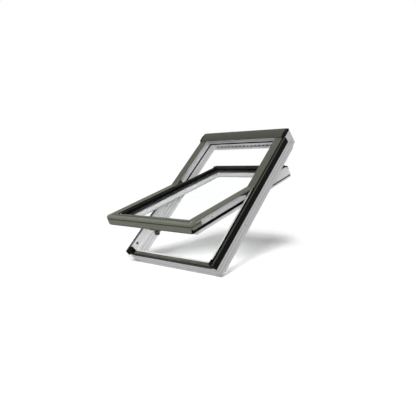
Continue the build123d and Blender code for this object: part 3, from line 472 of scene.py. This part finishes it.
# Beads: piece, slot, width and height, runs on both sides, runs across. A run has its start,
# its end and the direction it stands out in.
BEADS = (
    ("frame_cover_ridges", "cover_metal", (3.2, 1.3),
     (((352, 613, 138), (352, 1102, 138), OUTWARD),), ()),
    ("sash_cover_ridges", "cover_metal", (3.2, 1.3),
     (((352, -592, 8), (352, -24, 8), OUTWARD),),
     (((-372, -604, 8), (372, -604, 8), OUTWARD),
      ((-372, -614, 8), (372, -614, 8), OUTWARD),
      ((-372, -624, 8), (372, -624, 8), OUTWARD))),
    # Painted shadow: thin dark strips laid where shade falls between the bottom cover's ridges
    ("sash_cover_inlays", "black_rubber", (4.2, 0.35), (),
     (((-353, -609, 8), (353, -609, 8), OUTWARD),
      ((-353, -619, 8), (353, -619, 8), OUTWARD))),
    ("sash_strip_ribs", "black_rubber", (2.6, 1.4),
     (((311.5, -545, -1), (311.5, 462, -1), OUTWARD),
      ((316, -545, -1), (316, 462, -1), OUTWARD)), ()),
    ("frame_seal_bulbs", "black_rubber", (10.5, 4.2),
     (((348, 696, 64), (348, 1134, 64), TO_MIDDLE),),
     (((-344, 1138, 64), (344, 1138, 64), DOWN_SLOPE),)),
    ("sash_weld_seams", "white_pvc", (2.4, 0.5),
     (((313, -542, -90), (343, -572, -90), INWARD),
      ((313, 468, -90), (343, 498, -90), INWARD)), ()),
)
# Steps in a bead's half circle, and the share of its height that is left at its ends
BEAD_STEPS = 6
BEAD_END = 0.3

# Bars: louvres in the vent's pocket by their feet, caps on the ends of the sash's head strip,
# and carriers under the sash's side covers. The softened edges are BAR_EDGE wide.
LOUVRE_FEET = (22.6, 26.4, 30.2)
LOUVRE_SECTION = ((1141.5, 0.0), (1147.5, 1.2), (1147.5, 3.2), (1141.5, 2.0))
LOUVRE_RUN = (-309, 309)
HEAD_CAP_SECTION = ((462, -5.5), (474, -7), (486, -30), (489, -28), (480, 0), (466, 3))
HEAD_CAP_RUN = (328, 344)
CARRIER_SECTION = ((332, -7), (341, -7), (341, -4.5), (335, -4.5), (335, 5.8), (332, 5.8))
CARRIER_RUN = (-592, -26)
BAR_EDGE = 0.5
BAR_EDGE_STEPS = 2

# The handle's middle on its base, and its rings: distance out, half width, half depth,
# squareness
HANDLE_AT = (-18, -557, -97)
HANDLE_SIDES = 40
HANDLE_RINGS = (
    (-0.5, 10, 10, 2), (3, 10, 10, 2), (5.5, 11, 10, 2.2), (8, 15, 10.8, 3),
    (11, 17, 11.8, 3.6), (17, 16.4, 11.4, 3.8), (23, 16.6, 11.6, 3.8), (28, 17, 12, 3.8),
    (31, 16.4, 11.4, 3.6), (33, 14.6, 9.6, 3.2), (34, 11, 6, 3),
)


def mirrored(hand, spot):
    """A place or direction of the right side, on the side of a hand of 1 or -1."""
    return (hand * spot[0], *spot[1:])


def add_skin(mesh, rings):
    """Skin over rings of points that have the same count, closed at both ends."""
    loops = [[mesh.verts.new(point) for point in ring] for ring in rings]
    for low, high in zip(loops, loops[1:]):
        for i in range(len(low)):
            j = (i + 1) % len(low)
            mesh.faces.new((low[i], low[j], high[j], high[i]))
    mesh.faces.new(loops[0][::-1])
    mesh.faces.new(loops[-1])


def add_head(mesh, place, outward, radius, height, crossed=True):
    """Domed head of a screw with its cross recess, or of a rivet without one."""
    place, out = Vector(place), Vector(outward).normalized()
    side = out.orthogonal().normalized()
    other = out.cross(side)
    turns = [math.tau * i / HEAD_SIDES for i in range(HEAD_SIDES)]

    def ring(level, reaches):
        return [
            place + out * level
            + (side * math.cos(turn) + other * math.sin(turn)) * radius * reach
            for turn, reach in zip(turns, reaches)
        ]

    rings = [ring(-SINK, [1.0] * HEAD_SIDES)]
    rings += [ring(share * height, [reach] * HEAD_SIDES) for share, reach in DOME]
    if crossed:
        quarter = HEAD_SIDES // 4
        cross = [
            CROSS_REACH if (i + 1) % quarter < CROSS_ARM else CROSS_WAIST
            for i in range(HEAD_SIDES)
        ]
        rings.append(ring(height, cross))
        rings.append(ring(height * (1 - CROSS_DEPTH), [CROSS_TAPER * reach for reach in cross]))
    add_skin(mesh, rings)


def add_bead(mesh, start, end, outward, size):
    """Half round ridge between two points on a surface, tapered at its ends."""
    start, end, out = Vector(start), Vector(end), Vector(outward).normalized()
    along = (end - start).normalized()
    side = along.cross(out)
    width, height = size
    turns = [math.pi * i / BEAD_STEPS for i in range(BEAD_STEPS + 1)]
    section = [(math.cos(turn) * width / 2, math.sin(turn) * height) for turn in turns]
    section += [(-width / 2, -SINK), (width / 2, -SINK)]
    stations = (
        (start, BEAD_END), (start + along * width, 1.0), (end - along * width, 1.0),
        (end, BEAD_END),
    )
    rings = [
        [spot + side * across + out * up * (share if up > 0 else 1.0) for across, up in section]
        for spot, share in stations
    ]
    add_skin(mesh, rings)


def add_bar(mesh, section, start, end, upright=False):
    """Bar with softened edges, which runs across or, upright, up the slope."""
    before = set(mesh.edges)
    rings = [
        [Vector((a, at, b) if upright else (at, a, b)) for a, b in section]
        for at in (start, end)
    ]
    add_skin(mesh, rings)
    fresh = [edge for edge in mesh.edges if edge not in before]
    bmesh.ops.bevel(
        mesh, geom=fresh, offset=BAR_EDGE, segments=BAR_EDGE_STEPS, profile=0.5, affect="EDGES"
    )


def finish_piece(mesh, name, slot):
    """Turn a drawn mesh into a piece that rides on the window."""
    bmesh.ops.recalc_face_normals(mesh, faces=mesh.faces)
    mesh.transform(Matrix.Scale(MILLIMETRE, 4) @ SPACES[space_of(name)])
    data = bpy.data.meshes.new(name)
    mesh.to_mesh(data)
    mesh.free()
    data.shade_smooth()
    data.set_sharp_from_angle(angle=math.radians(SMOOTH_ANGLE))
    data.materials.append(finish_for(name, slot))
    piece = bpy.data.objects.new(name, data)
    bpy.context.scene.collection.objects.link(piece)
    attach(piece, "root")
    return piece


def add_heads():
    """Screws, rivets and plugs on both sides of the window, and the handle's two screws."""
    for name, slot, radius, height, crossed, outward, places in HEADS:
        mesh = bmesh.new()
        for hand in (1, -1):
            direction = mirrored(hand, outward)
            for place in places:
                add_head(mesh, mirrored(hand, place), direction, radius, height, crossed)
        finish_piece(mesh, name, slot)
    mesh = bmesh.new()
    for place in HANDLE_SCREWS:
        add_head(mesh, place, INWARD, HANDLE_SCREW_RADIUS, HANDLE_SCREW_HEIGHT)
    finish_piece(mesh, "handle_screws", "spacer_aluminium")


def add_beads():
    """Ridges of the covers and dark strips of painted shadow between them, ribs of the glazing
    strips, bulb seals, weld seams.
    """
    for name, slot, size, side_runs, cross_runs in BEADS:
        mesh = bmesh.new()
        for hand in (1, -1):
            for run in side_runs:
                add_bead(mesh, *(mirrored(hand, spot) for spot in run), size)
        for run in cross_runs:
            add_bead(mesh, *run, size)
        finish_piece(mesh, name, slot)


def add_bars():
    """Dark louvres in the vent's pocket, caps on the sash's head strip, carriers of covers."""
    mesh = bmesh.new()
    for foot in LOUVRE_FEET:
        add_bar(mesh, [(up, foot + rise) for up, rise in LOUVRE_SECTION], *LOUVRE_RUN)
    finish_piece(mesh, "vent_louvres", "black_plastic")
    mesh = bmesh.new()
    for hand in (1, -1):
        add_bar(mesh, HEAD_CAP_SECTION, *sorted(hand * u for u in HEAD_CAP_RUN))
    finish_piece(mesh, "sash_head_caps", "black_plastic")
    mesh = bmesh.new()
    for hand in (1, -1):
        section = [mirrored(hand, corner) for corner in CARRIER_SECTION]
        add_bar(mesh, section, *CARRIER_RUN, upright=True)
    finish_piece(mesh, "sash_cover_carriers", "black_plastic")


def add_handle():
    """Moulded pull under the bottom sash rail: a round neck that swells into a squared grip."""

    def squared(wave, squareness):
        return math.copysign(abs(wave) ** (2 / squareness), wave)

    turns = [math.tau * i / HANDLE_SIDES for i in range(HANDLE_SIDES)]
    rings = [
        [
            Vector((
                HANDLE_AT[0] + squared(math.cos(turn), squareness) * half_width,
                HANDLE_AT[1] + squared(math.sin(turn), squareness) * half_depth,
                HANDLE_AT[2] - level,
            ))
            for turn in turns
        ]
        for level, half_width, half_depth, squareness in HANDLE_RINGS
    ]
    mesh = bmesh.new()
    add_skin(mesh, rings)
    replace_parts(finish_piece(mesh, "handle_grip", "handle_plastic"), "handle")


# ---------------------------------------------------------------------------- studio


def set_camera():
    """The photograph's viewpoint."""
    yaw = math.radians(CAMERA_YAW)
    pitch = math.radians(CAMERA_PITCH)
    level = math.cos(pitch)
    ahead = Vector((math.sin(yaw) * level, math.cos(yaw) * level, -math.sin(pitch)))
    data = bpy.data.cameras.new("camera")
    data.sensor_width = SENSOR_WIDTH
    data.lens = SENSOR_WIDTH * FOCAL_PIXELS / PHOTO_SIZE
    camera = bpy.data.objects.new("camera", data)
    camera.location = CAMERA_AT
    camera.rotation_euler = ahead.to_track_quat("-Z", "Y").to_euler()
    bpy.context.scene.collection.objects.link(camera)
    bpy.context.scene.camera = camera


def seen_directly(tree):
    """One for rays that see a surface straight, in a mirror or through glass, else nought."""
    path = tree.add("ShaderNodeLightPath").outputs
    seen = tree.maths("MAXIMUM", path["Is Camera Ray"], path["Is Glossy Ray"])
    return tree.maths("MAXIMUM", seen, path["Is Transmission Ray"])


def set_world():
    """An even pale surround, white where it is seen."""
    world = bpy.data.worlds.new("studio")
    world.use_nodes = True
    world.node_tree.nodes.clear()
    tree = Tree(world.node_tree)
    strength = tree.remap(seen_directly(tree), 0.0, 1.0, WORLD_LEVEL, 1.0)
    background = tree.add(
        "ShaderNodeBackground", {"Color": (1, 1, 1, 1), "Strength": strength}
    )
    tree.end(background, "ShaderNodeOutputWorld")
    bpy.context.scene.world = world


def add_floor():
    """A plain white floor under the window's lowest edge, which keeps its shadow."""
    corners = [
        (x * FLOOR_HALF, y * FLOOR_HALF, cad_box[0][2])
        for x, y in ((-1, -1), (1, -1), (1, 1), (-1, 1))
    ]
    mesh = bpy.data.meshes.new("floor")
    mesh.from_pydata(corners, [], [(0, 1, 2, 3)])
    floor = bpy.data.objects.new("floor", mesh)
    bpy.context.scene.collection.objects.link(floor)
    material, tree = new_material("floor_white")
    seen = seen_directly(tree)
    white = tree.remap(seen, 0.0, 1.0, FLOOR_BOUNCE, 1.0)
    shader = tree.add("ShaderNodeBsdfDiffuse", {"Color": white})
    glow = tree.remap(seen, 0.0, 1.0, 0.0, FLOOR_GLOW)
    light = tree.add("ShaderNodeEmission", {"Strength": glow})
    both = tree.add("ShaderNodeAddShader", {0: shader.outputs[0], 1: light.outputs[0]})
    tree.end(both)
    mesh.materials.append(material)
    return floor


def add_sun(name, lamp, floor, lights_floor):
    """A soft sun that lights either the floor alone or everything but the floor."""
    strength, spread, direction = lamp
    data = bpy.data.lights.new(name, "SUN")
    data.energy = strength
    data.angle = math.radians(spread)
    sun = bpy.data.objects.new(name, data)
    sun.rotation_euler = Vector(direction).to_track_quat("Z", "Y").to_euler()
    bpy.context.scene.collection.objects.link(sun)
    receivers = bpy.data.collections.new(name + "_receivers")
    receivers.objects.link(floor)
    link = receivers.collection_objects[0].light_linking
    link.link_state = "INCLUDE" if lights_floor else "EXCLUDE"
    sun.light_linking.receiver_collection = receivers


add_heads()
add_beads()
add_bars()
add_handle()
dress_nodes()
set_camera()
set_world()
floor = add_floor()
for name, lamp in WINDOW_LIGHTS.items():
    add_sun(name, lamp, floor, False)
for name, lamp in FLOOR_LIGHTS.items():
    add_sun(name, lamp, floor, True)
bpy.context.scene.view_settings.view_transform = "Standard"
